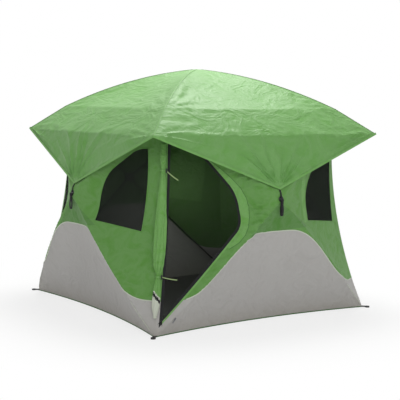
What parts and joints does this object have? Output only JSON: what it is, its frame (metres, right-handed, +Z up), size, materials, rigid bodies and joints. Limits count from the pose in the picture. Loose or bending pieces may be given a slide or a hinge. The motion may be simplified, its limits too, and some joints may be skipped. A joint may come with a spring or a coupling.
{
  "type": "pop-up hub tent",
  "caption": "Square pop-up hub tent with bowed walls, mesh door and windows, pull handles and a peaked rain fly with a wide brim.",
  "frame": {"origin": "on the ground at the middle of the floor", "axes": "+Z up; -Y faces out of the door wall"},
  "size_m": [2.1744, 2.1744, 1.799],
  "materials": {
    "green_fabric": "light green coated polyester, matte",
    "grey_fabric": "pale grey coated polyester, matte",
    "fly_fabric": "light green coated polyester with a slight sheen",
    "roof_fabric": "light green breathable polyester",
    "floor_fabric": "black waterproof woven floor, slight sheen",
    "black_mesh": "fine black no-see-um mesh",
    "zip_tape": "black zip coil and tape",
    "black_webbing": "black polyester webbing",
    "tie_webbing": "pale green tie tape with a toggle",
    "fibreglass": "black fibreglass rod with moulded nylon end tabs",
    "black_nylon": "black moulded nylon",
    "steel_pin": "plated steel pins",
    "zip_metal": "black enamelled zip slider"
  },
  "bodies": {
    "tent": {"floor_panel": "floor_fabric", "wall_front_upper": "green_fabric", "wall_front_lower": "grey_fabric", "wall_right_upper": "green_fabric", "wall_right_lower": "grey_fabric", "wall_back_upper": "green_fabric", "wall_back_lower": "grey_fabric", "wall_left_upper": "green_fabric", "wall_left_lower": "grey_fabric", "window_meshes": "black_mesh", "door_zip": "zip_tape", "roof_panel": "roof_fabric", "rain_fly": "fly_fabric", "fly_stays": "fibreglass", "fly_straps": "black_webbing", "corner_feet": "black_nylon", "upper_corner_fittings": "black_nylon", "corner_pins": "steel_pin", "door_flap_roll": "green_fabric", "flap_ties": "tie_webbing"},
    "hub_front": {"hub_front": "black_nylon", "hub_cap_and_pins_front": "black_nylon"},
    "pole_front_lower_right": {"pole_front_lower_right": "fibreglass"},
    "pole_front_upper_right": {"pole_front_upper_right": "fibreglass"},
    "pole_front_upper_left": {"pole_front_upper_left": "fibreglass"},
    "pole_front_lower_left": {"pole_front_lower_left": "fibreglass"},
    "pull_handle_front": {"pull_handle_front": "black_webbing"},
    "hub_right": {"hub_right": "black_nylon", "hub_cap_and_pins_right": "black_nylon"},
    "pole_right_lower_right": {"pole_right_lower_right": "fibreglass"},
    "pole_right_upper_right": {"pole_right_upper_right": "fibreglass"},
    "pole_right_upper_left": {"pole_right_upper_left": "fibreglass"},
    "pole_right_lower_left": {"pole_right_lower_left": "fibreglass"},
    "pull_handle_right": {"pull_handle_right": "black_webbing"},
    "hub_back": {"hub_back": "black_nylon", "hub_cap_and_pins_back": "black_nylon"},
    "pole_back_lower_right": {"pole_back_lower_right": "fibreglass"},
    "pole_back_upper_right": {"pole_back_upper_right": "fibreglass"},
    "pole_back_upper_left": {"pole_back_upper_left": "fibreglass"},
    "pole_back_lower_left": {"pole_back_lower_left": "fibreglass"},
    "pull_handle_back": {"pull_handle_back": "black_webbing"},
    "hub_left": {"hub_left": "black_nylon", "hub_cap_and_pins_left": "black_nylon"},
    "pole_left_lower_right": {"pole_left_lower_right": "fibreglass"},
    "pole_left_upper_right": {"pole_left_upper_right": "fibreglass"},
    "pole_left_upper_left": {"pole_left_upper_left": "fibreglass"},
    "pole_left_lower_left": {"pole_left_lower_left": "fibreglass"},
    "pull_handle_left": {"pull_handle_left": "black_webbing"},
    "hub_roof": {"hub_roof": "black_nylon", "hub_cap_and_pins_roof": "black_nylon"},
    "pole_roof_front_right": {"pole_roof_front_right": "fibreglass"},
    "pole_roof_back_right": {"pole_roof_back_right": "fibreglass"},
    "pole_roof_back_left": {"pole_roof_back_left": "fibreglass"},
    "pole_roof_front_left": {"pole_roof_front_left": "fibreglass"},
    "door_edge": {"door_edge_tape": "zip_tape"},
    "mesh_door": {"mesh_door": "black_mesh"},
    "zip_slider": {"zip_slider": "zip_metal"}
  },
  "joints": [
    {"name": "hub_front_press", "type": "slide", "parent": "tent", "child": "hub_front", "axis": [0, 0.9926, -0.1217], "range_m": [0, 0.51492], "deforming": ["wall_front_upper", "wall_front_lower", "door_zip", "window_meshes"]},
    {"name": "pole_front_lower_right_hinge", "type": "hinge", "parent": "hub_front", "child": "pole_front_lower_right", "pos_m": [0.019, -1.05545, 0.86783], "axis": [-0.6825, -0.0889, -0.7255], "range_deg": [0, 25.83]},
    {"name": "pole_front_upper_right_hinge", "type": "hinge", "parent": "hub_front", "child": "pole_front_upper_right", "pos_m": [0.01969, -1.05123, 0.90229], "axis": [0.653, -0.0922, -0.7517], "range_deg": [0, 33.89]},
    {"name": "pole_front_upper_left_hinge", "type": "hinge", "parent": "hub_front", "child": "pole_front_upper_left", "pos_m": [-0.01969, -1.05123, 0.90229], "axis": [0.653, 0.0922, 0.7517], "range_deg": [0, 33.89]},
    {"name": "pole_front_lower_left_hinge", "type": "hinge", "parent": "hub_front", "child": "pole_front_lower_left", "pos_m": [-0.019, -1.05545, 0.86783], "axis": [-0.6825, 0.0889, 0.7255], "range_deg": [0, 25.83]},
    {"name": "pull_handle_front_swing", "type": "hinge", "parent": "hub_front", "child": "pull_handle_front", "pos_m": [0, -1.0801, 0.87966], "axis": [-1, 0, 0], "range_deg": [0, 150]},
    {"name": "hub_right_press", "type": "slide", "parent": "tent", "child": "hub_right", "axis": [-0.9926, 0, -0.1217], "range_m": [0, 0.51492], "deforming": ["wall_right_upper", "wall_right_lower"]},
    {"name": "pole_right_lower_right_hinge", "type": "hinge", "parent": "hub_right", "child": "pole_right_lower_right", "pos_m": [1.05545, 0.019, 0.86783], "axis": [0.0889, -0.6825, -0.7255], "range_deg": [0, 25.83]},
    {"name": "pole_right_upper_right_hinge", "type": "hinge", "parent": "hub_right", "child": "pole_right_upper_right", "pos_m": [1.05123, 0.01969, 0.90229], "axis": [0.0922, 0.653, -0.7517], "range_deg": [0, 33.89]},
    {"name": "pole_right_upper_left_hinge", "type": "hinge", "parent": "hub_right", "child": "pole_right_upper_left", "pos_m": [1.05123, -0.01969, 0.90229], "axis": [-0.0922, 0.653, 0.7517], "range_deg": [0, 33.89]},
    {"name": "pole_right_lower_left_hinge", "type": "hinge", "parent": "hub_right", "child": "pole_right_lower_left", "pos_m": [1.05545, -0.019, 0.86783], "axis": [-0.0889, -0.6825, 0.7255], "range_deg": [0, 25.83]},
    {"name": "pull_handle_right_swing", "type": "hinge", "parent": "hub_right", "child": "pull_handle_right", "pos_m": [1.0801, 0, 0.87966], "axis": [0, -1, 0], "range_deg": [0, 150]},
    {"name": "hub_back_press", "type": "slide", "parent": "tent", "child": "hub_back", "axis": [0, -0.9926, -0.1217], "range_m": [0, 0.51492], "deforming": ["wall_back_upper", "wall_back_lower"]},
    {"name": "pole_back_lower_right_hinge", "type": "hinge", "parent": "hub_back", "child": "pole_back_lower_right", "pos_m": [-0.019, 1.05545, 0.86783], "axis": [0.6825, 0.0889, -0.7255], "range_deg": [0, 25.83]},
    {"name": "pole_back_upper_right_hinge", "type": "hinge", "parent": "hub_back", "child": "pole_back_upper_right", "pos_m": [-0.01969, 1.05123, 0.90229], "axis": [-0.653, 0.0922, -0.7517], "range_deg": [0, 33.89]},
    {"name": "pole_back_upper_left_hinge", "type": "hinge", "parent": "hub_back", "child": "pole_back_upper_left", "pos_m": [0.01969, 1.05123, 0.90229], "axis": [-0.653, -0.0922, 0.7517], "range_deg": [0, 33.89]},
    {"name": "pole_back_lower_left_hinge", "type": "hinge", "parent": "hub_back", "child": "pole_back_lower_left", "pos_m": [0.019, 1.05545, 0.86783], "axis": [0.6825, -0.0889, 0.7255], "range_deg": [0, 25.83]},
    {"name": "pull_handle_back_swing", "type": "hinge", "parent": "hub_back", "child": "pull_handle_back", "pos_m": [0, 1.0801, 0.87966], "axis": [1, 0, 0], "range_deg": [0, 150]},
    {"name": "hub_left_press", "type": "slide", "parent": "tent", "child": "hub_left", "axis": [0.9926, 0, -0.1217], "range_m": [0, 0.51492], "deforming": ["wall_left_upper", "wall_left_lower"]},
    {"name": "pole_left_lower_right_hinge", "type": "hinge", "parent": "hub_left", "child": "pole_left_lower_right", "pos_m": [-1.05545, -0.019, 0.86783], "axis": [-0.0889, 0.6825, -0.7255], "range_deg": [0, 25.83]},
    {"name": "pole_left_upper_right_hinge", "type": "hinge", "parent": "hub_left", "child": "pole_left_upper_right", "pos_m": [-1.05123, -0.01969, 0.90229], "axis": [-0.0922, -0.653, -0.7517], "range_deg": [0, 33.89]},
    {"name": "pole_left_upper_left_hinge", "type": "hinge", "parent": "hub_left", "child": "pole_left_upper_left", "pos_m": [-1.05123, 0.01969, 0.90229], "axis": [0.0922, -0.653, 0.7517], "range_deg": [0, 33.89]},
    {"name": "pole_left_lower_left_hinge", "type": "hinge", "parent": "hub_left", "child": "pole_left_lower_left", "pos_m": [-1.05545, 0.019, 0.86783], "axis": [0.0889, 0.6825, 0.7255], "range_deg": [0, 25.83]},
    {"name": "pull_handle_left_swing", "type": "hinge", "parent": "hub_left", "child": "pull_handle_left", "pos_m": [-1.0801, 0, 0.87966], "axis": [0, 1, 0], "range_deg": [0, 150]},
    {"name": "hub_roof_press", "type": "slide", "parent": "tent", "child": "hub_roof", "axis": [0, 0, -1], "range_m": [0, 0.5944], "deforming": ["roof_panel"]},
    {"name": "pole_roof_front_right_hinge", "type": "hinge", "parent": "hub_roof", "child": "pole_roof_front_right", "pos_m": [0.01838, -0.01838, 1.7692], "axis": [-0.7071, -0.7071, 0], "range_deg": [0, 36.07]},
    {"name": "pole_roof_back_right_hinge", "type": "hinge", "parent": "hub_roof", "child": "pole_roof_back_right", "pos_m": [0.01838, 0.01838, 1.7692], "axis": [0.7071, -0.7071, 0], "range_deg": [0, 36.07]},
    {"name": "pole_roof_back_left_hinge", "type": "hinge", "parent": "hub_roof", "child": "pole_roof_back_left", "pos_m": [-0.01838, 0.01838, 1.7692], "axis": [0.7071, 0.7071, 0], "range_deg": [0, 36.07]},
    {"name": "pole_roof_front_left_hinge", "type": "hinge", "parent": "hub_roof", "child": "pole_roof_front_left", "pos_m": [-0.01838, -0.01838, 1.7692], "axis": [-0.7071, 0.7071, 0], "range_deg": [0, 36.07]},
    {"name": "door_edge_follow", "type": "hinge", "parent": "tent", "child": "door_edge", "pos_m": [-0.80717, -0.83484, 0.68], "axis": [0.1333, 0.1355, 0.9818], "range_deg": [0, 36.01], "deforming": ["door_edge_tape"]},
    {"name": "mesh_door_swing", "type": "hinge", "parent": "door_edge", "child": "mesh_door", "pos_m": [-0.80717, -0.83484, 0.68], "axis": [-0.1333, -0.1355, -0.9818], "range_deg": [-80, 0], "deforming": ["mesh_door"]},
    {"name": "zip_slider_run", "type": "slide", "parent": "door_edge", "child": "zip_slider", "axis": [0.6572, -0.0753, 0.7499], "range_m": [0, 0.7111]}
  ],
  "couplings": [
    {"joint": "pole_front_lower_right_hinge", "follows": "hub_front_press", "rad_per_m": 0.87509},
    {"joint": "pole_front_upper_right_hinge", "follows": "hub_front_press", "rad_per_m": 1.1483},
    {"joint": "pole_front_upper_left_hinge", "follows": "hub_front_press", "rad_per_m": 1.1483},
    {"joint": "pole_front_lower_left_hinge", "follows": "hub_front_press", "rad_per_m": 0.87509},
    {"joint": "pole_right_lower_right_hinge", "follows": "hub_right_press", "rad_per_m": 0.87509},
    {"joint": "pole_right_upper_right_hinge", "follows": "hub_right_press", "rad_per_m": 1.1483},
    {"joint": "pole_right_upper_left_hinge", "follows": "hub_right_press", "rad_per_m": 1.1483},
    {"joint": "pole_right_lower_left_hinge", "follows": "hub_right_press", "rad_per_m": 0.87509},
    {"joint": "pole_back_lower_right_hinge", "follows": "hub_back_press", "rad_per_m": 0.87509},
    {"joint": "pole_back_upper_right_hinge", "follows": "hub_back_press", "rad_per_m": 1.1483},
    {"joint": "pole_back_upper_left_hinge", "follows": "hub_back_press", "rad_per_m": 1.1483},
    {"joint": "pole_back_lower_left_hinge", "follows": "hub_back_press", "rad_per_m": 0.87509},
    {"joint": "pole_left_lower_right_hinge", "follows": "hub_left_press", "rad_per_m": 0.87509},
    {"joint": "pole_left_upper_right_hinge", "follows": "hub_left_press", "rad_per_m": 1.1483},
    {"joint": "pole_left_upper_left_hinge", "follows": "hub_left_press", "rad_per_m": 1.1483},
    {"joint": "pole_left_lower_left_hinge", "follows": "hub_left_press", "rad_per_m": 0.87509},
    {"joint": "pole_roof_front_right_hinge", "follows": "hub_roof_press", "rad_per_m": 1.0588},
    {"joint": "pole_roof_back_right_hinge", "follows": "hub_roof_press", "rad_per_m": 1.0588},
    {"joint": "pole_roof_back_left_hinge", "follows": "hub_roof_press", "rad_per_m": 1.0588},
    {"joint": "pole_roof_front_left_hinge", "follows": "hub_roof_press", "rad_per_m": 1.0588},
    {"joint": "door_edge_follow", "follows": "hub_front_press", "rad_per_m": 1.2202}
  ]
}
